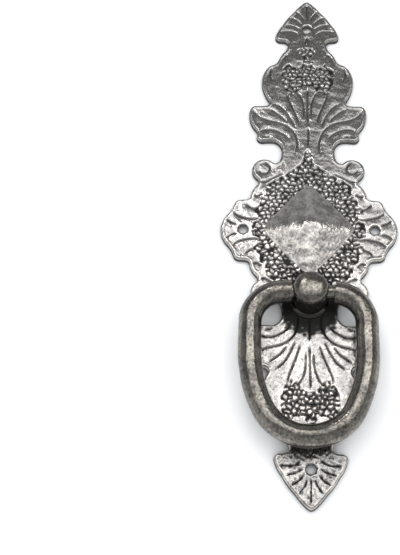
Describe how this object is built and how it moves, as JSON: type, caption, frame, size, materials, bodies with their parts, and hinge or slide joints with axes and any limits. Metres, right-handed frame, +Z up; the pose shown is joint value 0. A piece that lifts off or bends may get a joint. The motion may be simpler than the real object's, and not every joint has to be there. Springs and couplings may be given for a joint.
{
  "type": "door pull",
  "caption": "Long ornamental metal backplate with berry and shell relief, a raised pyramid, screw holes and a rounded ring that swings from a turned post.",
  "frame": {"origin": "on the back plane of the backplate, behind the point of the pyramid, at the plate's centre", "axes": "+Z up along the plate, +Y into the door, so the carved front faces -Y, and +X to the right as seen from behind the front, looking along +Y"},
  "size_m": [0.0624, 0.015, 0.2008],
  "materials": {
    "antique_silver": "antique silver with dark patina in the carving and bright worn high spots",
    "dark_bronze_post": "dark bronze, lightly worn on the dome",
    "dark_bronze_ring": "dark bronze, rubbed brighter along the bar"
  },
  "bodies": {
    "plate": {"backplate": "antique_silver", "post": "dark_bronze_post"},
    "ring": {"ring": "dark_bronze_ring"}
  },
  "joints": [
    {"name": "ring_swing", "type": "hinge", "parent": "plate", "child": "ring", "pos_m": [0, -0.00915, -0.0275], "axis": [1, 0, 0], "range_deg": [-182.5, 2.5]}
  ]
}
